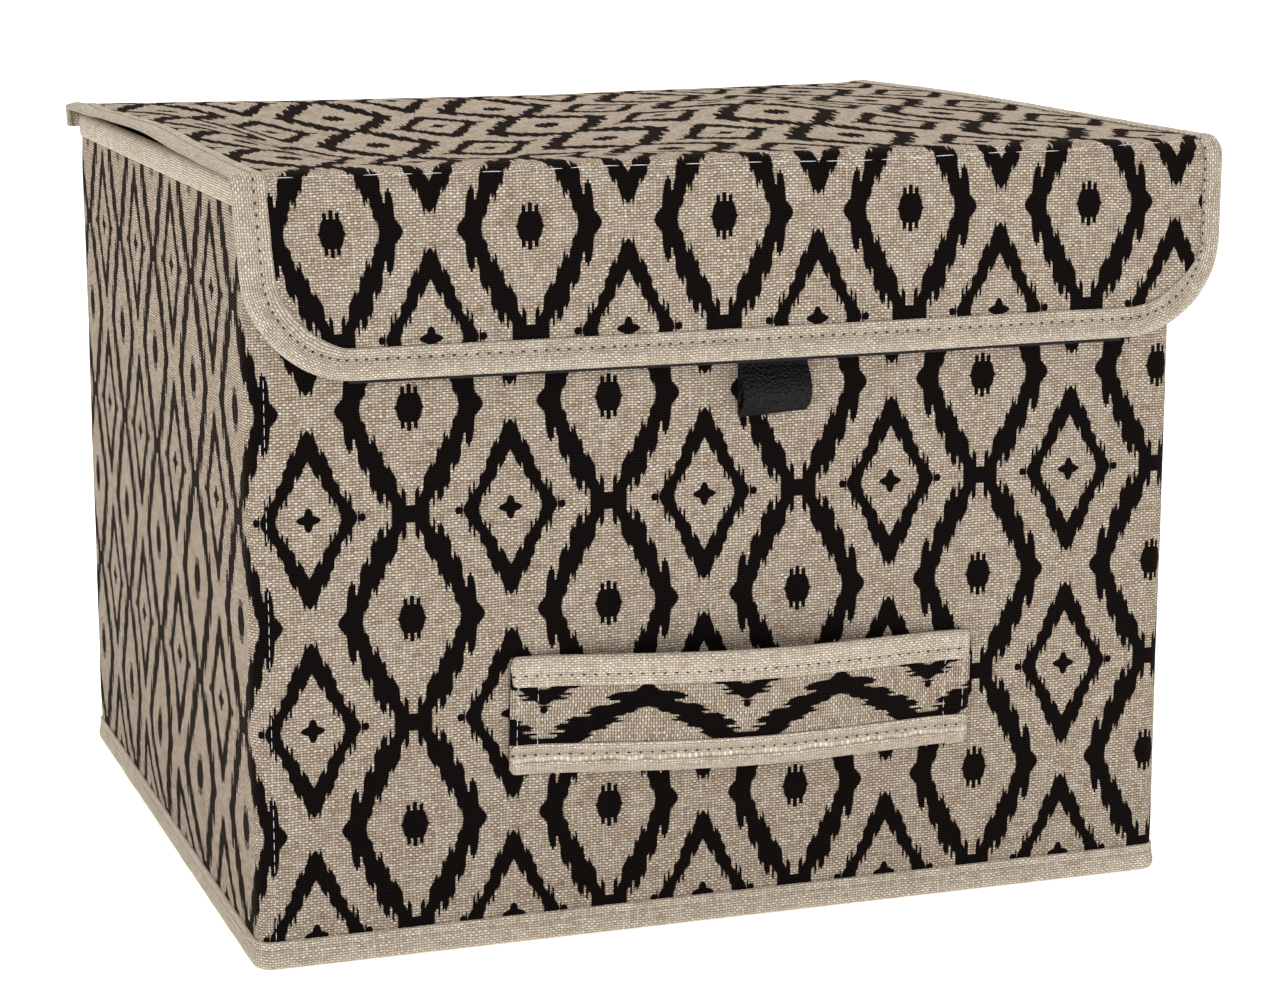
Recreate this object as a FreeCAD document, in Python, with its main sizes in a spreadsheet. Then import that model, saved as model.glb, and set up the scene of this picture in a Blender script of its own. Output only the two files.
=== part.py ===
import FreeCAD, Part
import math
import os
import re
import Sketcher

# A fabric storage bin: cloth over stiff boards, a cloth-hinged lid with a front flap,
# a pull tab below the flap, a strap handle on the front wall and a loose base insert.
#
# Frame: millimetres, +Z up, the front wall faces -Y and +X is to its right.
# The origin is the centre of the bottom's lower face.

NAME_LIMIT = 60
FRONT_TURN = -1.0
BACK_TURN = 1.0

DRIVING_SIZES = {
    # outer size of the cloth-covered walls
    "bin_width": 380.0,
    "bin_depth": 350.0,
    "rim_height": 299.5,
    "corner_radius": 6.0,
    # the layers of a wall
    "cloth": 0.8,
    "lining": 0.6,
    "wall_board": 2.6,
    "panel_board": 2.4,
    "tape": 0.8,
    # how far the tapes reach in from an edge
    "tape_reach": 12.0,
    "rim_reach": 10.5,
    "foot_reach": 11.5,
    "foot_web": 10.8,
    # the seam allowance between a board's end and the corner beside it
    "corner_seam": 6.4,
    # lid and flap: a sandwich of layers bent round the front fold
    "lid_width": 401.0,
    "lid_shift": 4.5,
    "fold_front": 178.8,
    "fold_rear": 172.2,
    "bend_height": 299.6,
    "underside": 0.2,
    "flap_bottom": 225.0,
    "flap_radius": 40.0,
    "fold_slack": 3.0,
    "hinge_tail": 278.0,
    "tape_tail": 289.0,
    # strap handle
    "strap_length": 193.0,
    "strap_height": 46.5,
    "strap_bow": 8.0,
    "strap_end": 14.0,
    "strap_x": 5.5,
    "strap_z": 89.6,
    "strap_tilt": 1.3,
    # pull tab
    "tab_width": 28.0,
    "tab_x": 16.0,
    "tab_thickness": 3.2,
    "tab_bottom": 204.0,
    "tab_pivot": 223.0,
    "tab_top": 246.0,
    "tab_back": 175.5,
    "tab_slot": 0.6,
    # loose base insert
    "insert_gap": 1.5,
    "insert_board": 3.0,
    "clearance": 0.3,
}

doc = FreeCAD.newDocument("storage_bin")
sheet = doc.addObject("Spreadsheet::Sheet", "Sizes")
for row, (alias, value) in enumerate(DRIVING_SIZES.items(), start=1):
    sheet.set(f"A{row}", alias)
    sheet.set(f"B{row}", str(value))
    sheet.setAlias(f"B{row}", alias)
doc.recompute()

subparts = []


def formula(text):
    """Turn a formula in the sheet's names into a FreeCAD expression."""
    return re.sub(r"[a-z_]+", lambda word: "Sizes." + word.group(0), text)


def number(text):
    """The present value of a formula in the sheet's names."""
    return float(sheet.evalExpression(formula(text)))


def bind(target, **properties):
    """Drive an object's properties from the sheet."""
    for name, text in properties.items():
        target.setExpression(name, formula(text))


def place(target, x="0", y="0", z="0"):
    """Drive an object's position from the sheet."""
    for axis, text in zip("xyz", (x, y, z)):
        target.setExpression(f".Placement.Base.{axis}", formula(text))


def keep(target, label):
    """Mark a finished object as one of the sub-parts that are written."""
    target.Label = label
    subparts.append(target)
    return target


def add_sketch(body, name, plane, offset="0"):
    """A sketch on one of the body's own origin planes, moved along its normal."""
    sketch = body.newObject("Sketcher::SketchObject", name)
    support = next(f for f in body.Origin.OriginFeatures if f.Role == plane)
    sketch.AttachmentSupport = [(support, "")]
    sketch.MapMode = "FlatFace"
    sketch.setExpression(".AttachmentOffset.Base.z", formula(offset))
    return sketch


def arc_between(start, end, radius, turn):
    """An arc from start to end; turn is +1 anticlockwise, -1 clockwise."""
    chord = end - start
    half = chord.Length / 2
    side = FreeCAD.Vector(-chord.y, chord.x, 0).normalize()
    centre = start + chord / 2 + side * (turn * math.sqrt(radius**2 - half**2))
    low, high = (start, end) if turn > 0 else (end, start)
    angle_low = math.atan2(low.y - centre.y, low.x - centre.x)
    angle_high = math.atan2(high.y - centre.y, high.x - centre.x)
    circle = Part.Circle(centre, FreeCAD.Vector(0, 0, 1), radius)
    return Part.ArcOfCircle(circle, angle_low, angle_high)


def draw_outline(sketch, corners):
    """Draw a closed, fully constrained outline.

    Each corner is (x, y) with a straight run to the next corner, or
    (x, y, radius, turn) with an arc to the next corner.
    """
    points = [FreeCAD.Vector(number(c[0]), number(c[1]), 0) for c in corners]
    runs = []
    for i, corner in enumerate(corners):
        start = points[i]
        end = points[(i + 1) % len(points)]
        if len(corner) == 2:
            index = sketch.addGeometry(Part.LineSegment(start, end), False)
            first, last = 1, 2
        else:
            radius, turn = corner[2:]
            index = sketch.addGeometry(arc_between(start, end, number(radius), turn), False)
            first, last = (1, 2) if turn > 0 else (2, 1)
            constraint = sketch.addConstraint(Sketcher.Constraint("Radius", index, number(radius)))
            sketch.setExpression(f"Constraints[{constraint}]", formula(radius))
        runs.append((index, first, last))
        for kind, text, value in (("DistanceX", corner[0], start.x), ("DistanceY", corner[1], start.y)):
            constraint = sketch.addConstraint(Sketcher.Constraint(kind, -1, 1, index, first, value))
            sketch.setExpression(f"Constraints[{constraint}]", formula(text))
    for (index, _, last), (following, first, _) in zip(runs, runs[1:] + runs[:1]):
        sketch.addConstraint(Sketcher.Constraint("Coincident", index, last, following, first))


def rounded_rectangle(half_x, half_y, radius):
    """Corners of an upright rectangle about the origin with round corners."""
    near_x = f"({half_x} - ({radius}))"
    near_y = f"({half_y} - ({radius}))"
    return [
        (f"-{near_x}", f"-({half_y})"),
        (near_x, f"-({half_y})", radius, BACK_TURN),
        (half_x, f"-{near_y}"),
        (half_x, near_y, radius, BACK_TURN),
        (near_x, half_y),
        (f"-{near_x}", half_y, radius, BACK_TURN),
        (f"-({half_x})", near_y),
        (f"-({half_x})", f"-{near_y}", radius, BACK_TURN),
    ]


def wall_outline(inset):
    """The outline round all four walls, inset from their outer face."""
    return rounded_rectangle(
        f"(bin_width / 2 - ({inset}))",
        f"(bin_depth / 2 - ({inset}))",
        f"(corner_radius - ({inset}))",
    )


def add_pad(body, sketch, length, symmetric=False):
    pad = body.newObject("PartDesign::Pad", sketch.Name + "_pad")
    pad.Profile = sketch
    bind(pad, Length=length)
    if symmetric:
        pad.SideType = "Symmetric"
    doc.recompute()
    return pad


def add_pocket(body, sketch, length):
    """Cut from the sketch towards +Z and check that material went away."""
    before = body.Shape.Volume
    pocket = body.newObject("PartDesign::Pocket", sketch.Name + "_pocket")
    pocket.Profile = sketch
    bind(pocket, Length=length)
    pocket.Reversed = True
    doc.recompute()
    if body.Shape.Volume > before - 1.0:
        raise RuntimeError(f"{sketch.Name} cuts nothing")
    return pocket


def wall_ring(name, outer, inner, low, height):
    """A body: a ring round the walls between two insets."""
    body = doc.addObject("PartDesign::Body", name + "_body")
    sketch = add_sketch(body, name + "_outline", "XY_Plane", low)
    draw_outline(sketch, wall_outline(outer))
    draw_outline(sketch, wall_outline(inner))
    add_pad(body, sketch, height)
    return body


def panel(label, size, corner):
    """A plain rectangular board."""
    box = doc.addObject("Part::Box", label + "_box")
    bind(box, Length=size[0], Width=size[1], Height=size[2])
    place(box, *corner)
    return box


# ---------------------------------------------------------------- walls and bottom

FLOOR_LAYERS = "(tape + cloth)"
INSIDE = "(cloth + wall_board + lining)"
BOARD_FOOT = f"({FLOOR_LAYERS} + lining)"
WALL_TOP = "(rim_height - tape)"


def make_wall_cloths():
    cover = wall_ring("outer_cover", "0", "cloth", FLOOR_LAYERS, f"{WALL_TOP} - {FLOOR_LAYERS}")
    keep(cover, "outer_cover")
    lining = wall_ring(
        "inner_lining", "cloth + wall_board", INSIDE, BOARD_FOOT, f"{WALL_TOP} - {BOARD_FOOT}"
    )
    keep(lining, "inner_lining")


def make_wall_boards():
    tall = f"{WALL_TOP} - {BOARD_FOOT}"
    long_x = "bin_width - 2 * corner_seam"
    long_y = "bin_depth - 2 * corner_seam"
    walls = {
        "front_board": ((long_x, "wall_board"), ("corner_seam - bin_width / 2", "cloth - bin_depth / 2")),
        "rear_board": (
            (long_x, "wall_board"),
            ("corner_seam - bin_width / 2", "bin_depth / 2 - cloth - wall_board"),
        ),
        "left_board": (("wall_board", long_y), ("cloth - bin_width / 2", "corner_seam - bin_depth / 2")),
        "right_board": (
            ("wall_board", long_y),
            ("bin_width / 2 - cloth - wall_board", "corner_seam - bin_depth / 2"),
        ),
    }
    for label, (size, corner) in walls.items():
        keep(panel(label, (*size, tall), (*corner, BOARD_FOOT)), label)


def make_bottom():
    # the cover is pressed down inside its binding, so both lie on the floor
    cover = doc.addObject("PartDesign::Body", "bottom_cover_body")
    rim = add_sketch(cover, "bottom_cover_rim", "XY_Plane", "tape")
    draw_outline(rim, wall_outline("0"))
    add_pad(cover, rim, "cloth")
    inner_edge = "(foot_web - tape + clearance)"
    middle = add_sketch(cover, "bottom_cover_middle", "XY_Plane")
    draw_outline(
        middle,
        rounded_rectangle(f"(bin_width / 2 - {inner_edge})", f"(bin_depth / 2 - {inner_edge})", "1"),
    )
    add_pad(cover, middle, FLOOR_LAYERS)
    step = f"({inner_edge} + cloth)"
    dip = add_sketch(cover, "bottom_cover_dip", "XY_Plane", "cloth")
    draw_outline(
        dip, rounded_rectangle(f"(bin_width / 2 - {step})", f"(bin_depth / 2 - {step})", "1")
    )
    add_pocket(cover, dip, "tape")
    keep(cover, "bottom_cover")

    lining = doc.addObject("PartDesign::Body", "bottom_lining_body")
    outline = add_sketch(lining, "bottom_lining_outline", "XY_Plane", FLOOR_LAYERS)
    draw_outline(outline, wall_outline("cloth"))
    add_pad(lining, outline, "lining")
    keep(lining, "bottom_lining")


def make_wall_bindings():
    rim = wall_ring("rim_binding", "-tape", f"{INSIDE} + tape", "rim_height - rim_reach", "rim_reach")
    slot = add_sketch(rim, "rim_binding_slot", "XY_Plane", "rim_height - rim_reach")
    draw_outline(slot, wall_outline("0"))
    draw_outline(slot, wall_outline(INSIDE))
    add_pocket(rim, slot, "rim_reach - tape")
    keep(rim, "rim_binding")

    foot = wall_ring("bottom_binding", "-tape", "0", "0", "foot_reach")
    web = add_sketch(foot, "bottom_binding_web", "XY_Plane")
    draw_outline(web, wall_outline("-tape"))
    draw_outline(
        web,
        rounded_rectangle(
            "(bin_width / 2 + tape - foot_web)", "(bin_depth / 2 + tape - foot_web)", "1"
        ),
    )
    add_pad(foot, web, "tape")
    keep(foot, "bottom_binding")


# ---------------------------------------------------------------- strap handle

STRAP_LAYERS = {
    "backing": ("tape", "tape + lining"),
    "strip": ("tape + lining", "tape + lining + cloth"),
    "slot": ("tape", "tape + lining + cloth"),
    "whole": ("0", "2 * tape + lining + cloth"),
}
STRAP_SPAN = "(strap_length / 2 - strap_end)"
STRAP_RADIUS = f"(({STRAP_SPAN} * {STRAP_SPAN} + strap_bow * strap_bow) / (2 * strap_bow))"


def strap_outline(layer):
    """A strap seen from above: flat sewn ends and a bow between them."""
    near, far = (f"-({edge})" for edge in STRAP_LAYERS[layer])
    return [
        ("-strap_length / 2", far),
        (f"-{STRAP_SPAN}", far, STRAP_RADIUS, BACK_TURN),
        (STRAP_SPAN, far),
        ("strap_length / 2", far),
        ("strap_length / 2", near),
        (STRAP_SPAN, near, STRAP_RADIUS, FRONT_TURN),
        (f"-{STRAP_SPAN}", near),
        ("-strap_length / 2", near),
    ]


def strap_body(name, layer, low, height):
    body = doc.addObject("PartDesign::Body", name + "_body")
    sketch = add_sketch(body, name + "_outline", "XY_Plane", low)
    draw_outline(sketch, strap_outline(layer))
    add_pad(body, sketch, height)
    return body


def set_on_front_wall(body):
    """Put a strap piece on the front wall, turned a little clockwise."""
    body.setExpression(".Placement.Base.x", formula("strap_x"))
    body.setExpression(".Placement.Base.y", formula("-bin_depth / 2"))
    body.setExpression(".Placement.Base.z", formula("strap_z"))
    body.Placement.Rotation = FreeCAD.Rotation(FreeCAD.Vector(0, 1, 0), number("strap_tilt"))
    body.setExpression(".Placement.Rotation.Angle", formula("strap_tilt") + " * 1 deg")


def make_handle():
    web_height = "(strap_height - 2 * tape)"
    for layer in ("strip", "backing"):
        body = strap_body("handle_" + layer, layer, "tape - strap_height / 2", web_height)
        set_on_front_wall(body)
        keep(body, "handle_" + layer)
    edges = {
        "handle_upper_binding": ("strap_height / 2 - tape_reach", "strap_height / 2 - tape_reach"),
        "handle_lower_binding": ("-strap_height / 2", "tape - strap_height / 2"),
    }
    for label, (low, slot_low) in edges.items():
        body = strap_body(label, "whole", low, "tape_reach")
        slot = add_sketch(body, label + "_slot", "XY_Plane", slot_low)
        draw_outline(slot, strap_outline("slot"))
        add_pocket(body, slot, "tape_reach - tape")
        set_on_front_wall(body)
        keep(body, label)


# ---------------------------------------------------------------- lid and flap

# Heights of the lid's layers above the bend centre; the flap has them forward of it.
UNDER_TAPE = "underside"
UNDER_LINING = "(underside + tape)"
UNDER_BOARD = f"({UNDER_LINING} + lining)"
UNDER_COVER = f"({UNDER_BOARD} + panel_board)"
OVER_COVER = f"({UNDER_COVER} + cloth)"
OVER_TAPE = f"({OVER_COVER} + tape)"


def bent_outline(inner, outer, flap_end, tail_end=None):
    """Side view of a layer of the lid: flap, fold and lid, with a tail behind."""
    face_out = f"-(fold_front + {outer})"
    face_in = f"-(fold_front + {inner})"
    top = f"bend_height + {outer}"
    under = f"bend_height + {inner}"
    front = [
        (face_in, "bend_height"),
        (face_in, flap_end),
        (face_out, flap_end),
        (face_out, "bend_height", outer, FRONT_TURN),
        ("-fold_front", top),
    ]
    fold_end = ("-fold_front", under, inner, BACK_TURN)
    if tail_end is None:
        return front + [("fold_rear", top), ("fold_rear", under), fold_end]
    return front + [
        ("fold_rear", top, outer, FRONT_TURN),
        (f"fold_rear + {outer}", "bend_height"),
        (f"fold_rear + {outer}", tail_end),
        (f"fold_rear + {inner}", tail_end),
        (f"fold_rear + {inner}", "bend_height", inner, BACK_TURN),
        ("fold_rear", under),
        fold_end,
    ]


def round_flap_corners(body, radius, depth):
    """Round the two lower corners of the flap."""
    low = number(depth)
    edges = []
    for i, edge in enumerate(body.Shape.Edges, start=1):
        along_y = edge.BoundBox.YLength > 0.1 and edge.BoundBox.XLength < 0.01
        if along_y and edge.BoundBox.ZLength < 0.01 and abs(edge.BoundBox.ZMin - low) < 0.01:
            if edge.BoundBox.YMax < 0:
                edges.append(f"Edge{i}")
    pad = body.Tip
    fillet = body.newObject("PartDesign::Fillet", body.Name + "_corners")
    fillet.Base = (pad, edges)
    bind(fillet, Radius=radius)
    doc.recompute()


def bent_layer(name, inner, outer, inset="0", tail_end=None):
    """A body: one layer of lid and flap, inset from the outer edge."""
    body = doc.addObject("PartDesign::Body", name + "_body")
    sketch = add_sketch(body, name + "_side", "YZ_Plane")
    flap_end = f"(flap_bottom + {inset})"
    draw_outline(sketch, bent_outline(inner, outer, flap_end, tail_end))
    add_pad(body, sketch, f"lid_width - 2 * {inset}", symmetric=True)
    round_flap_corners(body, f"flap_radius - {inset}", flap_end)
    place(body, "lid_shift")
    return body


def join(name, kind, base, tool):
    result = doc.addObject(kind, name)
    result.Base = base
    result.Tool = tool
    return result


def make_lid_cloths():
    keep(bent_layer("top_cover", UNDER_COVER, OVER_COVER, "tape", "hinge_tail"), "top_cover")
    keep(bent_layer("top_lining", UNDER_LINING, UNDER_BOARD, "tape"), "top_lining")


def make_lid_binding():
    # a folded tape: the whole thickness, less the sandwich inside it and the open middle
    whole = bent_layer("tape_outside", UNDER_TAPE, OVER_TAPE)
    tail = bent_layer("tape_outside_tail", UNDER_COVER, OVER_TAPE, "0", "tape_tail")
    inside = bent_layer("tape_inside", UNDER_LINING, OVER_COVER, "tape")
    inside_tail = bent_layer("tape_inside_tail", UNDER_COVER, OVER_COVER, "tape", "hinge_tail")
    middle = bent_layer("tape_middle", "0.1", f"({OVER_TAPE} + 1)", "tape_reach", "hinge_tail")
    outside = join("tape_with_tail", "Part::Fuse", whole, tail)
    hollow = join("tape_without_sandwich", "Part::Cut", outside, inside)
    hollow = join("tape_without_tail_cloth", "Part::Cut", hollow, inside_tail)
    keep(join("tape_edges", "Part::Cut", hollow, middle), "top_binding")


def make_lid_boards():
    front_end = "(fold_front - fold_slack + 0.7)"
    size = ("lid_width - 2 * tape - 1", f"fold_rear + {front_end}", "panel_board")
    corner = ("lid_shift - lid_width / 2 + tape + 0.5", f"-{front_end}", f"bend_height + {UNDER_BOARD}")
    keep(panel("lid_board", size, corner), "lid_board")

    body = doc.addObject("PartDesign::Body", "flap_board_body")
    sketch = add_sketch(body, "flap_board_side", "YZ_Plane")
    face_in = f"-(fold_front + {UNDER_BOARD})"
    face_out = f"-(fold_front + {UNDER_COVER})"
    low = "(flap_bottom + tape + 0.5)"
    high = "(bend_height - fold_slack)"
    draw_outline(sketch, [(face_in, low), (face_out, low), (face_out, high), (face_in, high)])
    add_pad(body, sketch, "lid_width - 2 * tape - 1", symmetric=True)
    round_flap_corners(body, "flap_radius - tape - 0.5", low)
    place(body, "lid_shift")
    keep(body, "flap_board")


# ---------------------------------------------------------------- pull tab

def make_pull_tab():
    """A flat folded loop, round at its fold and at its pivot below the flap."""
    body = doc.addObject("PartDesign::Body", "pull_tab_body")
    sketch = add_sketch(body, "pull_tab_side", "YZ_Plane")
    back = "(-tab_back)"
    front = "(-(tab_back + tab_thickness))"
    fold = "(tab_bottom + tab_thickness / 2)"
    radius = "tab_thickness / 2"
    draw_outline(
        sketch,
        [
            (front, fold, radius, BACK_TURN),
            (back, fold),
            (back, "tab_pivot", radius, BACK_TURN),
            (front, "tab_pivot"),
        ],
    )
    middle = "(tab_back + tab_thickness / 2)"
    slot_back = f"(tab_slot / 2 - {middle})"
    slot_front = f"(-tab_slot / 2 - {middle})"
    draw_outline(
        sketch,
        [(slot_front, fold), (slot_back, fold), (slot_back, "tab_pivot"), (slot_front, "tab_pivot")],
    )
    add_pad(body, sketch, "tab_width", symmetric=True)
    place(body, "tab_x")
    keep(body, "pull_tab")

    low = "(tab_pivot + tab_thickness / 2 + clearance)"
    size = ("tab_width", "tab_thickness", f"tab_top - {low}")
    ends = panel("tab_sewn_ends", size, ("tab_x - tab_width / 2", front, low))
    keep(ends, "tab_sewn_ends")


# ---------------------------------------------------------------- base insert

def make_base_insert():
    half_x = f"(bin_width / 2 - {INSIDE} - insert_gap)"
    half_y = f"(bin_depth / 2 - {INSIDE} - insert_gap)"
    low = f"({BOARD_FOOT} + clearance)"
    outside = panel(
        "insert_outside",
        (f"2 * {half_x}", f"2 * {half_y}", "insert_board + 2 * lining"),
        (f"-{half_x}", f"-{half_y}", low),
    )
    size = (f"2 * {half_x} - 2 * lining", f"2 * {half_y} - 2 * lining", "insert_board")
    corner = (f"lining - {half_x}", f"lining - {half_y}", f"{low} + lining")
    hollow = panel("insert_hollow", size, corner)
    keep(join("insert_sleeve", "Part::Cut", outside, hollow), "insert_cover")
    keep(panel("insert_board", size, corner), "insert_board")


make_wall_cloths()
make_wall_boards()
make_bottom()
make_wall_bindings()
make_handle()
make_lid_cloths()
make_lid_binding()
make_lid_boards()
make_pull_tab()
make_base_insert()
doc.recompute()

for item in doc.Objects:
    if "Invalid" in item.State or "Error" in item.State:
        raise RuntimeError(f"{item.Label} failed: {item.State}")
for item in subparts:
    if item.Shape.isNull() or not item.Shape.isValid():
        raise RuntimeError(f"{item.Label} has no valid shape")
    if len(item.Label) >= NAME_LIMIT:
        raise RuntimeError(f"{item.Label} is too long a name")

os.makedirs("parts", exist_ok=True)
for item in subparts:
    item.Shape.exportStep(f"parts/{item.Label}.step")
    box = item.Shape.BoundBox
    print(
        f"{item.Label:22s} solids {len(item.Shape.Solids)} volume {item.Shape.Volume:10.1f}"
        f"  x {box.XMin:7.1f} {box.XMax:7.1f}  y {box.YMin:7.1f} {box.YMax:7.1f}"
        f"  z {box.ZMin:6.1f} {box.ZMax:6.1f}"
    )
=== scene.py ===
import bisect
import math

import bpy
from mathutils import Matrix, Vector, noise


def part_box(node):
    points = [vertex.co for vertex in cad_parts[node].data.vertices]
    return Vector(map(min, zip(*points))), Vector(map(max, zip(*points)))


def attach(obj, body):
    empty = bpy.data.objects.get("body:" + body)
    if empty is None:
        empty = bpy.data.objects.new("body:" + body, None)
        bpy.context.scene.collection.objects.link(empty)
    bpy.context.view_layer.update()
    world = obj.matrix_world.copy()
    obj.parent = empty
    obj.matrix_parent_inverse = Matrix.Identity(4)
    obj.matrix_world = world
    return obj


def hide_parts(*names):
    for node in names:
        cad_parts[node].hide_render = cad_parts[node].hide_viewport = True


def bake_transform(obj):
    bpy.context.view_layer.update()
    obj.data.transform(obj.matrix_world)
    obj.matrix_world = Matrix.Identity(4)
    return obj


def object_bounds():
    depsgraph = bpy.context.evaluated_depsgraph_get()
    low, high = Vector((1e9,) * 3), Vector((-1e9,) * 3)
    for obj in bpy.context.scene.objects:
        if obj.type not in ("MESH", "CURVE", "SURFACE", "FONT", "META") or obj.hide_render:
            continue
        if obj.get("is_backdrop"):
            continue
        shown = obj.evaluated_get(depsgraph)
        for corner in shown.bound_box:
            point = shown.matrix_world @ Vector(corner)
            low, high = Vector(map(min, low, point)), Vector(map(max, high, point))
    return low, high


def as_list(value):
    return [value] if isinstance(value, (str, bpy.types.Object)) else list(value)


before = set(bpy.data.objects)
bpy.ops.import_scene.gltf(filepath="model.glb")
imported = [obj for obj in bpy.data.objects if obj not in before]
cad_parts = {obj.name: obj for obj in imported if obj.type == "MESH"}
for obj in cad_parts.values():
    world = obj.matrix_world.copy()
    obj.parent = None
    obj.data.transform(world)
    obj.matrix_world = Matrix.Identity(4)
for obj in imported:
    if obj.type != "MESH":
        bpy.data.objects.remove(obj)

CAD_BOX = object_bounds()
MM = 0.001

# ---------------- places and sizes, from the frame


def box(node):
    low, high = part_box(node)
    return Vector(low), Vector(high)


WALL_LOW, WALL_HIGH = box("outer_cover")
RIM_LOW, RIM_HIGH = box("rim_binding")
FOOT_HIGH = box("bottom_binding")[1]
LINING_LOW, LINING_HIGH = box("inner_lining")
TOP_LOW, TOP_HIGH = box("top_binding")
LID_LOW, LID_HIGH = box("lid_board")
FLAP_BACK = -box("flap_board")[1].y
TAB_LOW, TAB_HIGH = box("pull_tab")
TAB_ENDS_LOW, TAB_ENDS_HIGH = box("tab_sewn_ends")
INSERT_LOW, INSERT_HIGH = box("insert_cover")

HALF_X = WALL_HIGH.x
HALF_Y = WALL_HIGH.y
CORNER = 6 * MM
CLOTH = 0.8 * MM
TAPE = RIM_HIGH.x - HALF_X
TAPE_REACH = 12 * MM

# the printed pattern's repeat, and where it starts on each piece of cloth
REPEAT_X = 78.2 * MM
REPEAT_Z = 80.6 * MM
WALL_PRINT = (128.6 * MM, -52.3 * MM)
LID_PRINT = (160.5 * MM, -280.7 * MM)
LID_PRINT_SCALE = 78.2 / 76.8
STRAP_PRINT = (REPEAT_X - 139.7 * MM, 42.9 * MM)


def bump(value, centre, width):
    """A smooth hump, 1 at its centre."""
    return math.exp(-(((value - centre) / width) ** 2))


def ease(value):
    """A smooth step from 0 to 1."""
    value = min(max(value, 0.0), 1.0)
    return value * value * (3 - 2 * value)


def ripple(x, y, scale, seed):
    """Gentle unevenness of cloth, about -1 to 1."""
    return noise.noise(Vector((x / scale, y / scale, seed)))


# ---------------- camera, lights and floor


def make_camera():
    data = bpy.data.cameras.new("camera")
    data.lens = 87.6
    data.sensor_width = 36
    camera = bpy.data.objects.new("camera", data)
    bpy.context.scene.collection.objects.link(camera)
    camera.location = (-0.4259, -1.2807, 0.4070)
    look = Vector((0.3249, 0.9250, -0.1968))
    camera.rotation_euler = look.to_track_quat("-Z", "Y").to_euler()
    bpy.context.scene.camera = camera


def area_light(name, location, target, size, power):
    data = bpy.data.lights.new(name, "AREA")
    data.shape = "SQUARE"
    data.size = size
    data.energy = power
    light = bpy.data.objects.new(name, data)
    bpy.context.scene.collection.objects.link(light)
    light.location = location
    light.rotation_euler = (Vector(target) - Vector(location)).to_track_quat("-Z", "Y").to_euler()


def make_light():
    world = bpy.data.worlds.new("studio")
    world.use_nodes = True
    background = world.node_tree.nodes["Background"]
    background.inputs["Color"].default_value = (1, 1, 1, 1)
    background.inputs["Strength"].default_value = 0.45
    bpy.context.scene.world = world
    area_light("key", (-2.0, -1.9, 1.55), (0, 0, 0.15), 0.7, 11)
    area_light("front", (0.3, -2.6, 1.6), (0, 0, 0.15), 0.7, 3.5)
    area_light("top", (0.2, 0.2, 2.6), (0, 0, 0.15), 1.6, 47)
    bpy.context.scene.view_settings.view_transform = "Standard"


def make_floor():
    """A round sheet of white paper, wide enough to reach past the picture."""
    reach, sides = 24.0, 96
    turns = [math.tau * i / sides for i in range(sides)]
    points = [(reach * math.cos(turn), reach * math.sin(turn), 0) for turn in turns]
    mesh = bpy.data.meshes.new("floor")
    mesh.from_pydata(points, [], [tuple(range(sides))])
    floor = bpy.data.objects.new("floor", mesh)
    bpy.context.scene.collection.objects.link(floor)
    n = Nodes("floor")
    paper = n.shader(base=(0.9, 0.9, 0.9), roughness=0.8)
    # far from the bin the paper is lit to plain white
    place = n.add("ShaderNodeTexCoord").outputs["Object"]
    distance = n.add("ShaderNodeVectorMath", operation="LENGTH")
    n.feed(distance.inputs[0], place)
    glow = n.math("MULTIPLY_ADD", distance.outputs["Value"], 0.6, 0.52, clamp=True)
    paper.inputs["Emission Color"].default_value = (1, 1, 1, 1)
    n.feed(paper.inputs["Emission Strength"], glow)
    mesh.materials.append(n.material)
    floor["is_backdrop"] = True


# ---------------- materials


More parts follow.
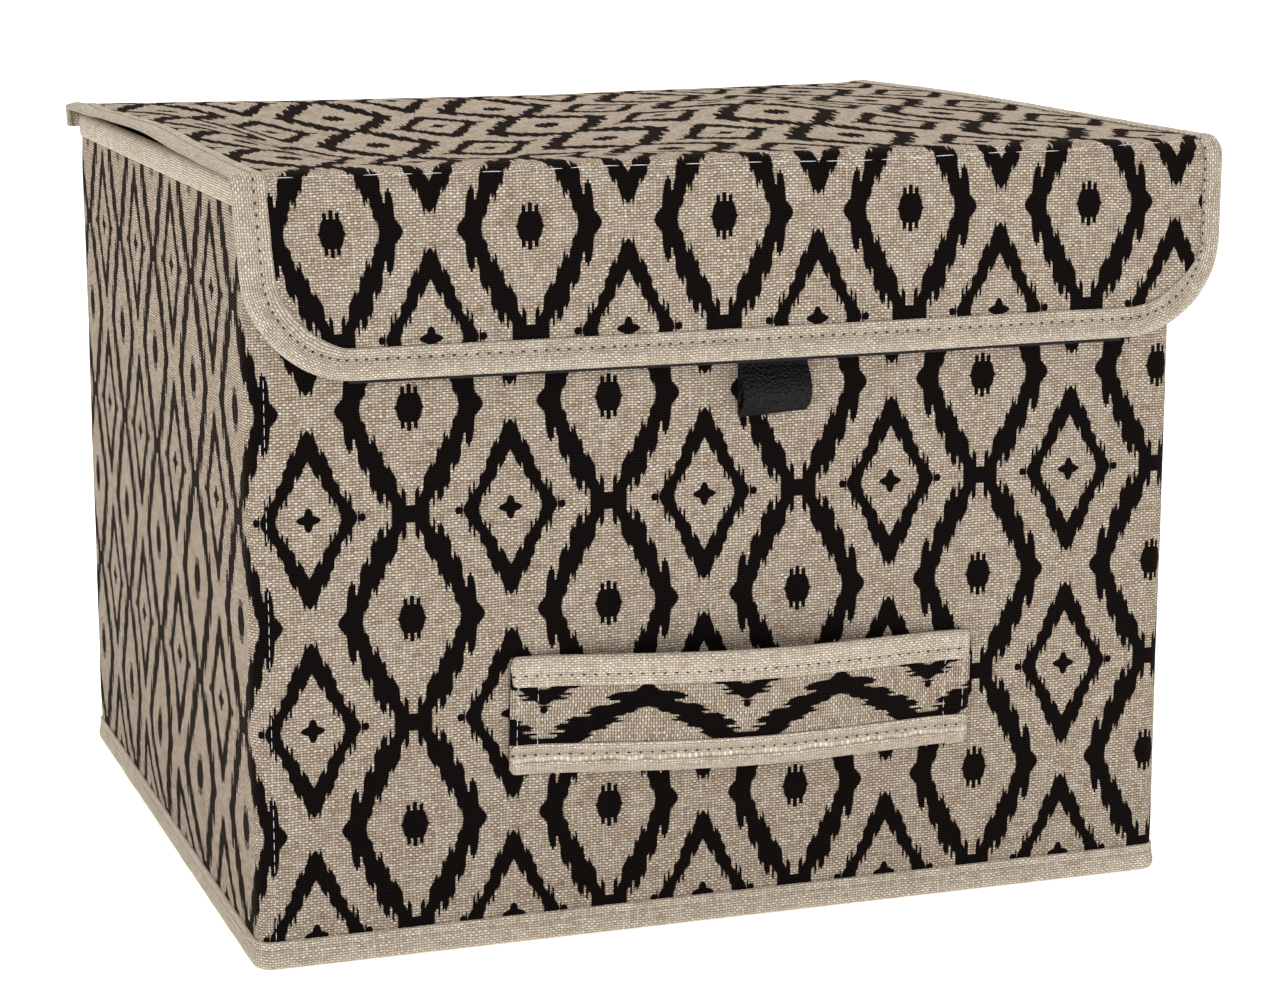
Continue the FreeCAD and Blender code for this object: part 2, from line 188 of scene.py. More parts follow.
class Nodes:
    """Short ways to put shader nodes into one material."""

    def __init__(self, name):
        self.material = bpy.data.materials.new(name)
        self.material.use_nodes = True
        self.tree = self.material.node_tree
        self.tree.nodes.clear()

    def add(self, kind, **settings):
        node = self.tree.nodes.new(kind)
        for name, value in settings.items():
            setattr(node, name, value)
        return node

    def feed(self, socket, value):
        """Link a socket or set a plain value."""
        if isinstance(value, bpy.types.NodeSocket):
            self.tree.links.new(value, socket)
        else:
            socket.default_value = value

    def math(self, operation, *values, clamp=False):
        node = self.add("ShaderNodeMath", operation=operation, use_clamp=clamp)
        for socket, value in zip(node.inputs, values):
            self.feed(socket, value)
        return node.outputs[0]

    def cloth(self):
        """The flat cloth's own coordinates in metres."""
        node = self.add("ShaderNodeUVMap", uv_map="cloth")
        split = self.add("ShaderNodeSeparateXYZ")
        self.feed(split.inputs[0], node.outputs[0])
        return split.outputs[0], split.outputs[1]

    def vector(self, x, y, z=0.0):
        node = self.add("ShaderNodeCombineXYZ")
        for socket, value in zip(node.inputs, (x, y, z)):
            self.feed(socket, value)
        return node.outputs[0]

    def noise(self, x, y, detail=1.0, scale=1.0, seed=0.0):
        node = self.add("ShaderNodeTexNoise", noise_dimensions="3D")
        self.feed(node.inputs["Vector"], self.vector(x, y, seed))
        node.inputs["Scale"].default_value = scale
        node.inputs["Detail"].default_value = detail
        return node.outputs["Fac"]

    def random(self, x, y=0.0, seed=0.0):
        node = self.add("ShaderNodeTexWhiteNoise", noise_dimensions="3D")
        self.feed(node.inputs["Vector"], self.vector(x, y, seed))
        return node.outputs["Value"]

    def mix(self, factor, first, second):
        node = self.add("ShaderNodeMix", data_type="RGBA")
        self.feed(node.inputs["Factor"], factor)
        colours = [s for s in node.inputs if s.type == "RGBA"]
        for socket, value in zip(colours, (first, second)):
            self.feed(socket, value if isinstance(value, bpy.types.NodeSocket) else (*value, 1.0))
        return next(s for s in node.outputs if s.type == "RGBA")

    def scale_colour(self, colour, factor):
        node = self.add("ShaderNodeVectorMath", operation="SCALE")
        self.feed(node.inputs[0], colour)
        self.feed(node.inputs["Scale"], factor)
        return node.outputs[0]

    def curve(self, value, points):
        """A line through given points."""
        node = self.add("ShaderNodeFloatCurve")
        line = node.mapping.curves[0]
        line.points[0].location = points[0]
        line.points[-1].location = points[-1]
        for point in points[1:-1]:
            line.points.new(*point)
        for point in line.points:
            point.handle_type = "VECTOR"
        node.mapping.update()
        self.feed(node.inputs["Value"], value)
        return node.outputs[0]

    def shader(self, base, roughness, height=None, distance=0.3 * MM, sheen=0.0, strength=1.0, specular=0.3):
        node = self.add("ShaderNodeBsdfPrincipled")
        output = self.add("ShaderNodeOutputMaterial")
        self.feed(output.inputs["Surface"], node.outputs[0])
        self.feed(node.inputs["Base Color"], base if isinstance(base, bpy.types.NodeSocket) else (*base, 1.0))
        self.feed(node.inputs["Roughness"], roughness)
        node.inputs["Specular IOR Level"].default_value = specular
        node.inputs["Sheen Weight"].default_value = sheen
        node.inputs["Sheen Roughness"].default_value = 0.5
        if height is not None:
            relief = self.add("ShaderNodeBump")
            relief.inputs["Strength"].default_value = strength
            relief.inputs["Distance"].default_value = distance
            self.feed(relief.inputs["Height"], height)
            self.feed(node.inputs["Normal"], relief.outputs[0])
        return node


def weave(n, u, v, pitch_u, pitch_v):
    """A plain weave of uneven threads: height, tone, and which thread is on top."""
    # slubs make the threads wander a little
    wander = n.math("MULTIPLY_ADD", n.noise(u, v, detail=0.0, scale=170.0), 0.7, -0.35)
    sway = n.math("MULTIPLY_ADD", n.noise(u, v, detail=0.0, scale=150.0, seed=0.4), 0.7, -0.35)
    across = n.math("ADD", n.math("DIVIDE", u, pitch_u), sway)
    up = n.math("ADD", n.math("DIVIDE", v, pitch_v), wander)
    column = n.math("FLOOR", across)
    row = n.math("FLOOR", up)
    weft = thread_height(n, across, row, up, 0.5, 1.0)
    warp = thread_height(n, up, column, across, -0.5, 0.6)
    warp_over = n.math("GREATER_THAN", warp, weft)
    height = n.math("MULTIPLY_ADD", n.math("MAXIMUM", weft, warp), 1.4, -0.58, clamp=True)
    weft_tone = n.noise(n.math("MULTIPLY", u, 150.0), n.math("MULTIPLY", row, 5.7), detail=1.0, seed=4.0)
    warp_tone = n.noise(n.math("MULTIPLY", column, 7.3), n.math("MULTIPLY", v, 110.0), detail=1.0)
    tone = n.math("MULTIPLY_ADD", n.math("SUBTRACT", warp_tone, weft_tone), warp_over, weft_tone)
    tone = n.math("ADD", tone, n.math("MULTIPLY_ADD", n.random(column, row), 0.16, -0.08))
    return height, tone, warp_over


def thread_height(n, along, line, side, lift, thickness):
    """Height of a round thread that passes over and under its neighbours; line is its number."""
    phase = n.math("ADD", n.math("SUBTRACT", along, 0.5), line)
    wave = n.math("COSINE", n.math("MULTIPLY", phase, math.pi))
    rounded = n.math("SINE", n.math("MULTIPLY", n.math("FRACT", side), math.pi))
    return n.math("MULTIPLY_ADD", wave, lift, n.math("MULTIPLY", rounded, thickness))


def linen_colour(n, threads, dark, pale, warm, depth):
    """Thread colours from tan to cream, with painted shade darkening the gaps between threads."""
    height, tone, warp_over = threads
    lightness = n.math("MULTIPLY_ADD", warp_over, -0.17, n.math("MULTIPLY_ADD", tone, 1.8, -0.28), clamp=True)
    colour = n.mix(lightness, dark, pale)
    rust = n.math("MULTIPLY_ADD", tone, -2.4, 1.30, clamp=True)
    colour = n.mix(n.math("MULTIPLY", rust, n.math("MULTIPLY_ADD", warp_over, 0.40, 0.15)), colour, warm)
    # painted shade: the lower parts of the weave are darkened, more so with a larger depth
    return n.scale_colour(colour, n.math("MULTIPLY_ADD", height, depth, 1.0 - 0.62 * depth))


def jagged(n, x, y, seed, reach):
    """y with the dye of each lengthwise thread shifted by its own amount."""
    shifts = []
    for columns, share in ((15.0, 0.14), (47.0, 0.32), (90.0, 0.54)):
        value = n.random(n.math("FLOOR", n.math("MULTIPLY_ADD", x, columns, seed)), seed, columns)
        shifts.append(n.math("MULTIPLY_ADD", value, share * reach, -0.5 * share * reach))
    shift = n.math("ADD", shifts[0], n.math("ADD", shifts[1], shifts[2]))
    # the side tips stay whole
    return n.math("MULTIPLY_ADD", shift, n.math("MULTIPLY", y, 14.0, clamp=True), y)


def over(n, value, edge, softness=0.006):
    """1 where value is above edge, with a slightly soft border."""
    return n.math("DIVIDE", n.math("SUBTRACT", value, edge), softness, clamp=True)


def beyond(n, value, edge, softness=0.006):
    """1 where value has reached edge, so that an edge of 0 leaves nothing open."""
    return n.math("ADD", n.math("DIVIDE", n.math("SUBTRACT", value, edge), softness), 1.0, clamp=True)


def petal(n, x, y, half_width, half_height):
    """1 inside an upright or lying oval."""
    across = n.math("POWER", n.math("DIVIDE", x, half_width), 2.0)
    up = n.math("POWER", n.math("DIVIDE", n.math("MAXIMUM", y, 0.0), half_height), 2.0)
    return over(n, 1.0, n.math("ADD", across, up), 0.12)


# half the print's outlines: (height in the repeat, distance from the axis)
BAND_INNER = [
    (0.0, 0.246), (0.05, 0.238), (0.125, 0.200), (0.236, 0.133), (0.333, 0.077),
    (0.41, 0.036), (0.455, 0.014), (0.470, 0.0), (1.0, 0.0),
]
BAND_OUTER = [
    (0.0, 0.370), (0.03, 0.362), (0.07, 0.332), (0.165, 0.318), (0.185, 0.272),
    (0.264, 0.244), (0.34, 0.196), (0.41, 0.156), (0.5, 0.098), (1.0, 0.098),
]
CROSSING = 0.455
EYE = [
    (0.0, 0.080), (0.012, 0.068), (0.040, 0.065), (0.070, 0.060), (0.088, 0.054),
    (0.100, 0.045), (0.110, 0.026), (0.115, 0.0), (1.0, 0.0),
]
DIAMOND_OUTER = [
    (0.0, 0.243), (0.04, 0.232), (0.11, 0.195), (0.25, 0.108), (0.32, 0.070), (0.365, 0.048), (0.40, 0.034),
    (0.43, 0.024), (0.445, 0.0), (1.0, 0.0),
]
DIAMOND_INNER = [
    (0.0, 0.160), (0.03, 0.155), (0.06, 0.134), (0.2, 0.054), (0.255, 0.018), (0.28, 0.0), (1.0, 0.0),
]


def ikat_print(n, u, v):
    """1 where the cloth is printed: eyes in wavy bands, and small diamonds between them."""
    # fold the repeat into one quarter: x from an eye's axis, y from an eye's row
    x = n.math("PINGPONG", n.math("DIVIDE", u, REPEAT_X), 0.5)
    y = n.math("PINGPONG", n.math("DIVIDE", v, REPEAT_Z), 0.5)
    side_x = n.math("SUBTRACT", 0.5, x)
    side_y = n.math("SUBTRACT", 0.5, y)

    band_in = beyond(n, x, n.curve(jagged(n, x, y, 1.0, 0.115), BAND_INNER))
    band_in = n.math("MAXIMUM", band_in, over(n, y, CROSSING))
    band_out = over(n, n.curve(jagged(n, x, y, 2.0, 0.15), BAND_OUTER), x)
    band = n.math("MULTIPLY", band_in, band_out)
    eye = over(n, n.curve(jagged(n, x, y, 3.0, 0.17), EYE), x)

    diamond_in = beyond(n, side_x, n.curve(jagged(n, side_x, side_y, 4.0, 0.10), DIAMOND_INNER))
    diamond_out = over(n, n.curve(jagged(n, side_x, side_y, 5.0, 0.135), DIAMOND_OUTER), side_x)
    diamond = n.math("MULTIPLY", diamond_in, diamond_out)

    # a four-lobed dot in the diamond, and a small arrow off each side
    dot_y = jagged(n, side_x, side_y, 6.0, 0.030)
    tall = petal(n, side_x, dot_y, 0.025, 0.062)
    wide = petal(n, side_x, dot_y, 0.062, 0.022)
    arrow_span = n.math("ABSOLUTE", n.math("SUBTRACT", side_x, 0.262))
    arrow = petal(n, arrow_span, side_y, 0.018, 0.020)
    shaft = petal(n, n.math("ABSOLUTE", n.math("SUBTRACT", side_x, 0.245)), side_y, 0.005, 0.040)
    result = band
    for part in (eye, diamond, tall, wide, arrow, shaft):
        result = n.math("MAXIMUM", result, part)
    return result


def printed_linen():
    n = Nodes("printed_linen")
    u, v = n.cloth()
    threads = weave(n, u, v, 1.30 * MM, 1.06 * MM)
    cloth = linen_colour(n, threads, (0.225, 0.160, 0.108), (0.54, 0.467, 0.378), (0.36, 0.212, 0.145), 1.05)
    # the ink carries painted shade: it is darker where the weave is low, in the gaps between threads
    ink = n.scale_colour(n.vector(0.0046, 0.0034, 0.0034), n.math("MULTIPLY_ADD", threads[0], 0.7, 0.6))
    mask = ikat_print(n, u, v)
    surface = n.shader(
        n.mix(mask, cloth, ink), 0.92, threads[0], 0.34 * MM, sheen=0.07, strength=0.75, specular=0.02,
    )
    surface.inputs["Sheen Tint"].default_value = (0.62, 0.40, 0.26, 1.0)
    return n.material


def plain_tape(name, shade):
    """Paler, finer cloth; shade below 1 darkens it, for a greyer piece of it and for painted shade."""
    n = Nodes(name)
    u, v = n.cloth()
    threads = weave(n, u, v, 1.20 * MM, 1.02 * MM)
    colour = linen_colour(n, threads, (0.38, 0.30, 0.222), (0.74, 0.655, 0.54), (0.49, 0.37, 0.265), 0.85)
    colour = n.scale_colour(colour, shade)
    n.shader(colour, 0.92, threads[0], 0.30 * MM, strength=0.7, specular=0.04)
    return n.material


def dark_lining():
    """Pressed non-woven cloth with small bonded dimples."""
    n = Nodes("dark_lining")
    u, v = n.cloth()
    cell_u = n.math("SINE", n.math("MULTIPLY", u, math.tau / (1.6 * MM)))
    cell_v = n.math("SINE", n.math("MULTIPLY", v, math.tau / (1.6 * MM)))
    dimple = n.math("MULTIPLY", cell_u, cell_v)
    fibre = n.noise(u, v, detail=3.0, scale=900.0)
    height = n.math("MULTIPLY_ADD", dimple, 0.3, fibre)
    colour = n.mix(fibre, (0.012, 0.0115, 0.0125), (0.030, 0.0285, 0.030))
    n.shader(colour, 0.9, height, 0.12 * MM, sheen=0.02, strength=0.6, specular=0.15)
    return n.material


def chipboard():
    n = Nodes("chipboard")
    place = n.add("ShaderNodeTexCoord").outputs["Object"]
    speck = n.add("ShaderNodeTexNoise")
    n.feed(speck.inputs["Vector"], place)
    speck.inputs["Scale"].default_value = 700.0
    speck.inputs["Detail"].default_value = 4.0
    colour = n.mix(speck.outputs["Fac"], (0.30, 0.25, 0.19), (0.52, 0.45, 0.36))
    n.shader(colour, 0.92, speck.outputs["Fac"], 0.08 * MM, strength=0.4)
    return n.material


def tab_leather():
    n = Nodes("tab_leather")
    u, v = n.cloth()
    grain = n.add("ShaderNodeTexVoronoi", feature="SMOOTH_F1")
    n.feed(grain.inputs["Vector"], n.vector(u, v))
    grain.inputs["Scale"].default_value = 1050.0
    grain.inputs["Smoothness"].default_value = 0.35
    broad = n.noise(u, v, detail=3.0, scale=420.0)
    height = n.math("MULTIPLY_ADD", broad, 0.2, n.math("SUBTRACT", 1.0, grain.outputs["Distance"]))
    colour = n.mix(broad, (0.0025, 0.0025, 0.003), (0.008, 0.0078, 0.009))
    roughness = n.math("MULTIPLY_ADD", broad, 0.2, 0.32)
    n.shader(colour, roughness, height, 0.9 * MM, strength=1.0, specular=0.16)
    return n.material


def thread(name, colour):
    """Twisted sewing thread."""
    n = Nodes(name)
    place = n.add("ShaderNodeTexCoord").outputs["Object"]
    ply = n.add("ShaderNodeTexWave", bands_direction="DIAGONAL")
    n.feed(ply.inputs["Vector"], place)
    ply.inputs["Scale"].default_value = 1400.0
    # painted shade: the grooves between the plies, where the wave is low, are coloured darker
    tint = n.mix(ply.outputs["Fac"], tuple(0.72 * c for c in colour), colour)
    n.shader(tint, 0.6, ply.outputs["Fac"], 0.05 * MM, strength=0.5, sheen=0.1)
    return n.material


PRINTED = printed_linen()
PLAIN = plain_tape("strap_tape", 0.95)
# the lid's edge tape is darkened partly because it is a greyer piece and partly as painted shade, since it
# faces the lamps more than the other tapes
EDGE = plain_tape("lid_edge_tape", 0.80)
LINING = dark_lining()
BOARD = chipboard()
LEATHER = tab_leather()
WHITE_THREAD = thread("white_thread", (0.86, 0.84, 0.80))
TAPE_THREAD = thread("tape_thread", (0.62, 0.54, 0.43))
# the needle holes are near-black discs: painted shade in the holes
HOLE = thread("needle_hole", (0.035, 0.026, 0.02))


# ---------------- mesh helpers


def new_piece(name, points, faces, material, uvs=None):
    """A smooth-shaded object; uvs are the cloth's flat coordinates, one per face corner."""
    mesh = bpy.data.meshes.new(name)
    mesh.from_pydata([tuple(p) for p in points], [], faces)
    if uvs is not None:
        layer = mesh.uv_layers.new(name="cloth")
        layer.data.foreach_set("uv", [value for uv in uvs for value in uv])
    mesh.materials.append(material)
    mesh.polygons.foreach_set("use_smooth", [True] * len(faces))
    mesh.update()
    piece = bpy.data.objects.new(name, mesh)
    bpy.context.scene.collection.objects.link(piece)
    return piece


def grid(name, columns, rows, place, flat, material, loop_columns=False, loop_rows=False, caps=False):
    """A sheet of quads: place(column, row) gives each point and flat(i, j) its flat coordinates.

    With loop_rows it is a tube along the columns, and caps close its two ends.
    """
    points = [place(c, r) for r in rows for c in columns]
    wide, tall = len(columns), len(rows)
    faces, uvs = [], []
    for j in range(tall if loop_rows else tall - 1):
        for i in range(wide if loop_columns else wide - 1):
            next_i, next_j = (i + 1) % wide, (j + 1) % tall
            faces.append((j * wide + i, j * wide + next_i, next_j * wide + next_i, next_j * wide + i))
            for a, b in ((i, j), (i + 1, j), (i + 1, j + 1), (i, j + 1)):
                uvs.append(flat(a, b) if flat else (columns[a], rows[b]))
    if caps:
        first = [j * wide for j in range(tall)]
        last = [j * wide + wide - 1 for j in reversed(range(tall))]
        for cap in (first, last):
            faces.append(cap)
            uvs += [(points[v][1], points[v][2]) for v in cap]
    return new_piece(name, points, faces, material, uvs)


def settle(piece, body, node):
    """Fix a piece to one body, in place of one of the part's plain solids."""
    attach(piece, body)
    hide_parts(node)


def bin_sheet(name, columns, rows, place, flat, material, thickness, node):
    """A thin sheet on the bin, in place of a plain solid."""
    sheet = grid(name, columns, rows, place, flat, material)
    thicken(sheet, thickness)
    settle(sheet, "bin", node)


def thicken(piece, thickness, offset=-1.0):
    """Give a sheet its thickness, away from its face."""
    solid = piece.modifiers.new("thickness", "SOLIDIFY")
    solid.thickness = thickness
    solid.offset = offset


def soften(piece):
    smooth = piece.modifiers.new("soft", "SUBSURF")
    smooth.levels = 1
    smooth.render_levels = 1


def spread(low, high, step):
    """Evenly spaced values from low to high, about step apart."""
    count = max(1, round((high - low) / step))
    return [low + (high - low) * i / count for i in range(count + 1)]


def running_lengths(points, loop=False):
    """Distance along a polyline at each of its points."""
    total, lengths = 0.0, [0.0]
    ends = points[1:] + points[:1] if loop else points[1:]
    for a, b in zip(points, ends):
        total += (Vector(b) - Vector(a)).length
        lengths.append(total)
    return lengths


def on_surface(surface, a, b, layer, lift=0.0):
    """A point above a curved sheet, and the sheet's outward direction there."""
    step = 0.2 * MM
    along_a = surface(a + step, b, layer) - surface(a - step, b, layer)
    along_b = surface(a, b + step, layer) - surface(a, b - step, layer)
    return surface(a, b, layer + lift), along_a.cross(along_b).normalized()


# ---------------- stitches


STITCH = 3.7 * MM
STITCH_GAP = 0.75 * MM


def stitch_row(name, path, length, stitch, gap, radius, material, holes=False):
    """Separate stitches; path(d) gives the point and outward normal at distance d."""
    sides, steps = 6, 4
    turns = [math.tau * j / sides for j in range(sides)]
    points, faces, tints = [], [], []

    def place_at(d):
        here, normal = path(d)
        along = (path(d + 0.2 * MM)[0] - here).normalized()
        return here, normal, along, normal.cross(along).normalized()

    def close_tube(rings, tint):
        """Faces round the last few rings of points."""
        first = len(points) - rings * sides
        last = len(points) - sides
        for low in range(first, last, sides):
            for j in range(sides):
                following = (j + 1) % sides
                faces.append((low + j, low + following, low + sides + following, low + sides + j))
        faces.append(tuple(range(first + sides - 1, first - 1, -1)))
        faces.append(tuple(range(last, last + sides)))
        tints.extend([tint] * ((rings - 1) * sides + 2))

    count = int(length / (stitch + gap))
    for k in range(count):
        uneven = 0.12 * stitch * noise.noise(Vector((k * 1.7, len(name), 0)))
        start = (k + 0.5) * length / count - stitch / 2 + uneven
        for i in range(steps + 1):
            share = i / steps
            here, normal, _, side = place_at(start + stitch * share)
            arch = math.sin(math.pi * share)
            centre = here + normal * radius * (1.25 * arch - 0.75)
            size = radius * (0.55 + 0.45 * arch)
            points += [centre + (side * math.cos(turn) + normal * math.sin(turn)) * size for turn in turns]
        close_tube(steps + 1, 0)
        # each hole is a small disc in the near-black needle_hole colour, painted shade of the hole
        if holes:
            here, normal, along, side = place_at(start - gap / 2)
            for rise, size in ((-0.3, 0.80), (0.2, 0.62)):
                for turn in turns:
                    flat = side * math.cos(turn) * 0.55 + along * math.sin(turn)
                    points.append(here + flat * size * MM + normal * rise * MM)
            close_tube(2, 1)
    piece = new_piece(name, points, faces, material)
    piece.data.materials.append(HOLE)
    piece.data.polygons.foreach_set("material_index", tints)
    return piece


# ---------------- walls


def around(s, outward):
    """Walk round the walls: s is 0 at the middle of the front and grows to the right.

    Gives the point in plan, outward from the cloth's face, and the outward direction.
    """
    width, depth = 2 * HALF_X, 2 * HALF_Y
    s = (s + HALF_X) % (2 * (width + depth))
    sides = [
        (Vector((-HALF_X, -HALF_Y)), Vector((1, 0)), width),
        (Vector((HALF_X, -HALF_Y)), Vector((0, 1)), depth),
        (Vector((HALF_X, HALF_Y)), Vector((-1, 0)), width),
        (Vector((-HALF_X, HALF_Y)), Vector((0, -1)), depth),
    ]
    for start, along, length in sides:
        if s <= length:
            break
        s -= length
    out = Vector((along.y, -along.x))
    near_start = max(0.0, 1 - s / CORNER)
    near_end = max(0.0, 1 - (length - s) / CORNER)
    turn = math.radians(45) * (near_end - near_start)
    direction = Vector((
        out.x * math.cos(turn) - out.y * math.sin(turn),
        out.x * math.sin(turn) + out.y * math.cos(turn),
    ))
    middle = min(max(s, CORNER), length - CORNER)
    centre = start + along * middle - out * CORNER
    return centre + direction * (CORNER + outward), direction


LOOP = 4 * (HALF_X + HALF_Y)
SEAM = HALF_X + 2 * HALF_Y
LEFT_MIDDLE = -HALF_X - HALF_Y
CORNERS = [SEAM - LOOP, SEAM - LOOP + 2 * HALF_X, -HALF_X, HALF_X, SEAM]


def round_the_walls(step):
    """Stations along the walls, closer together in the corners."""
    stations = [CORNERS[0]]
    for low, high in zip(CORNERS, CORNERS[1:]):
        stations += spread(low, low + CORNER, CORNER / 4)[1:]
        stations += spread(low + CORNER, high - CORNER, step)[1:]
        stations += spread(high - CORNER, high, CORNER / 4)[1:]
    return stations


def wall_bulge(s, z):
    """How far the cloth stands out from its flat board."""
    share = (z - WALL_LOW.z) / (WALL_HIGH.z - WALL_LOW.z)
    ends = ease(z / (28 * MM)) * ease((WALL_HIGH.z - z) / (28 * MM))
    left = bump(s, LEFT_MIDDLE, 95 * MM) * (1.6 * bump(share, 0.32, 0.3))
    slack = 0.35 + 0.35 * ripple(s, z, 60 * MM, 2.0) + 0.16 * ripple(s, z, 19 * MM, 8.0)
    return (left + slack) * ends * MM


def make_walls():
    stations = round_the_walls(4 * MM)
    heights = spread(WALL_LOW.z, WALL_HIGH.z, 4 * MM)

    def place(s, z):
        point, _ = around(s, wall_bulge(s, z))
        return (point.x, point.y, z)

    def flat(i, j):
        s, z = stations[i], heights[j]
        # the cloth was pulled askew low on the left wall before it was bound
        pull = bump(s, LEFT_MIDDLE + 10 * MM, 78 * MM) * bump(z, 40 * MM, 27 * MM)
        slip_u = 13 * MM * pull
        slip_v = 5 * MM * pull
        return (s + WALL_PRINT[0] + slip_u, z + WALL_PRINT[1] + slip_v)

    bin_sheet("printed_walls", stations, heights, place, flat, PRINTED, CLOTH * 0.9, "outer_cover")

    inset = HALF_X - LINING_HIGH.x

    def place_lining(s, z):
        free = 1 - ease((z - RIM_LOW.z + 14 * MM) / (12 * MM))
        slack = (0.25 * ripple(s, z, 45 * MM, 5.0) - 0.25) * free * MM
        point, _ = around(s, slack - inset)
        return (point.x, point.y, z)

    levels = spread(LINING_LOW.z, LINING_HIGH.z, 8 * MM)
    stations_in = round_the_walls(8 * MM)
    bin_sheet("wall_lining", stations_in, levels, place_lining, None, LINING, 0.5 * MM, "inner_lining")


def wall_tape(name, profile, wobble, node):
    """A folded tape all round the walls; its profile is a closed loop of (outward, z)."""
    stations = round_the_walls(5 * MM)[:-1]
    across = running_lengths([(a, b, 0) for a, b in profile], loop=True)
    rows = range(len(profile))

    def place(s, r):
        outward, z = profile[r]
        face = max(0.0, outward) / TAPE
        outward += wobble * MM * face * (0.5 + 0.5 * ripple(s, 0, 26 * MM, 3.0))
        point, _ = around(s, outward)
        return (point.x, point.y, z)

    def flat(i, j):
        s = stations[i] if i < len(stations) else stations[0] + LOOP
        return (s, across[j])

    tape = grid(name, stations, rows, place, flat, PLAIN, loop_columns=True, loop_rows=True)
    soften(tape)
    settle(tape, "bin", node)


def make_rim_tape():
    out, inside = TAPE, LINING_HIGH.x - HALF_X - TAPE
    low, top = RIM_LOW.z, RIM_HIGH.z
    profile = [
        (0.05 * MM, low), (out, low + 0.2 * MM), (out + 0.3 * MM, low + 3 * MM),
        (out + 0.5 * MM, top - 3 * MM), (out - 0.1 * MM, top - 0.3 * MM),
        (-1.6 * MM, top + 0.1 * MM), (inside + 1.4 * MM, top + 0.1 * MM),
        (inside + 0.1 * MM, top - 0.8 * MM), (inside, low + 3 * MM), (inside, low + 0.2 * MM),
        (inside + TAPE, low), (inside + TAPE, top - TAPE),
        (-0.05 * MM, top - TAPE), (0.05 * MM, low + 2 * MM),
    ]
    wall_tape("rim_tape", profile, 0.15, "rim_binding")


FOOT_STITCH = 7.6 * MM


def make_foot_tape():
    top = FOOT_HIGH.z
    web = HALF_X - 10 * MM
    under = web - HALF_X
    profile = [
        (0.05 * MM, top), (TAPE * 0.8, top), (TAPE + 0.25 * MM, top - 1.2 * MM),
        (TAPE - 0.15 * MM, FOOT_STITCH), (TAPE + 0.7 * MM, FOOT_STITCH - 2.4 * MM),
        (TAPE + 0.8 * MM, 2.4 * MM), (TAPE + 0.1 * MM, 0.5 * MM), (-0.8 * MM, 0.02 * MM),
        (under + 1 * MM, 0.02 * MM), (under, 0.2 * MM), (under + 0.5 * MM, TAPE),
        (-0.8 * MM, TAPE + 0.1 * MM), (0.05 * MM, 2.2 * MM), (0.05 * MM, top - 2 * MM),
    ]
    wall_tape("foot_tape", profile, 0.35, "bottom_binding")

    def path(d):
        s = CORNERS[0] + d
        point, direction = around(s, TAPE + 0.35 * MM)
        return Vector((point.x, point.y, FOOT_STITCH)), Vector((direction.x, direction.y, 0))

    row = stitch_row("foot_stitches", path, LOOP, STITCH, STITCH_GAP, 0.23 * MM, TAPE_THREAD)
    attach(row, "bin")


def make_corner_stitches():
    """White stitches down the walls, beside the front left and rear right corners."""
    for label, s in (("front_left", 6.5 * MM - HALF_X), ("rear_right", SEAM + 6.5 * MM)):
        def path(d, s=s):
            z = FOOT_HIGH.z + d
            point, direction = around(s, wall_bulge(s, z) + 0.02 * MM)
            return Vector((point.x, point.y, z)), Vector((direction.x, direction.y, 0))

        length = RIM_LOW.z - FOOT_HIGH.z
        name = "corner_stitches_" + label
        row = stitch_row(name, path, length, 3.4 * MM, 1.0 * MM, 0.14 * MM, WHITE_THREAD)
        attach(row, "bin")


def make_bottom():
    """The bottom cloth rises over the foot tape's inner edge, between two distances from the walls."""
    low, high = box("bottom_cover")
    outer, inner = 9.5 * MM, 11.5 * MM

    def place(x, y):
        from_wall = min(HALF_X - abs(x), HALF_Y - abs(y))
        over_tape = 1 - ease((from_wall - outer) / (inner - outer))
        return (x, y, over_tape * (TAPE + 0.05 * MM) + 0.7 * MM)

    xs = spread(low.x + 1 * MM, high.x - 1 * MM, 8 * MM)
    ys = spread(low.y + 1 * MM, high.y - 1 * MM, 8 * MM)
    for reach in (outer, inner):
        xs += [reach - HALF_X, HALF_X - reach]
        ys += [reach - HALF_Y, HALF_Y - reach]
    bin_sheet("bottom_cloth", sorted(xs), sorted(ys), place, None, LINING, 0.6 * MM, "bottom_cover")

    low, high = box("bottom_lining")
    xs = spread(low.x + 3 * MM, high.x - 3 * MM, 12 * MM)
    ys = spread(low.y + 3 * MM, high.y - 3 * MM, 12 * MM)

    def place_inner(x, y):
        return (x, y, high.z + 0.05 * MM * ripple(x, y, 30 * MM, 1.0))

    bin_sheet("bottom_inner_cloth", xs, ys, place_inner, None, LINING, 0.4 * MM, "bottom_lining")


# ---------------- lid and flap

# The lid and flap are one sandwich of layers bent over the front edge.  A point in it is
# (x, t, r): t runs up the flap from its lower edge, over the fold and back along the lid,
# and r is the layer's distance from the centre of the bend.
PANEL_LEFT, PANEL_RIGHT = TOP_LOW.x, TOP_HIGH.x
PANEL_MIDDLE = (PANEL_LEFT + PANEL_RIGHT) / 2
BEND_Z = LID_LOW.z - 1.6 * MM
BEND_FRONT = FLAP_BACK - 1.6 * MM
BEND_REAR = LID_HIGH.y
FLAP_LENGTH = BEND_Z - TOP_LOW.z
BEND_LENGTH = 4.8 * MM * math.pi / 2
LID_LENGTH = BEND_FRONT + BEND_REAR
LID_START = FLAP_LENGTH + BEND_LENGTH
LID_END = LID_START + LID_LENGTH
FLAP_CORNER = 40 * MM
R_LINING = 1.6 * MM
R_BOARD = 4.0 * MM
R_COVER = 4.8 * MM


def between(value, points):
    """A smooth line through a few (value, result) points."""
    for (a, low), (b, high) in zip(points, points[1:]):
        if value <= b:
            return low + (high - low) * ease((value - a) / (b - a))
    return points[-1][1]


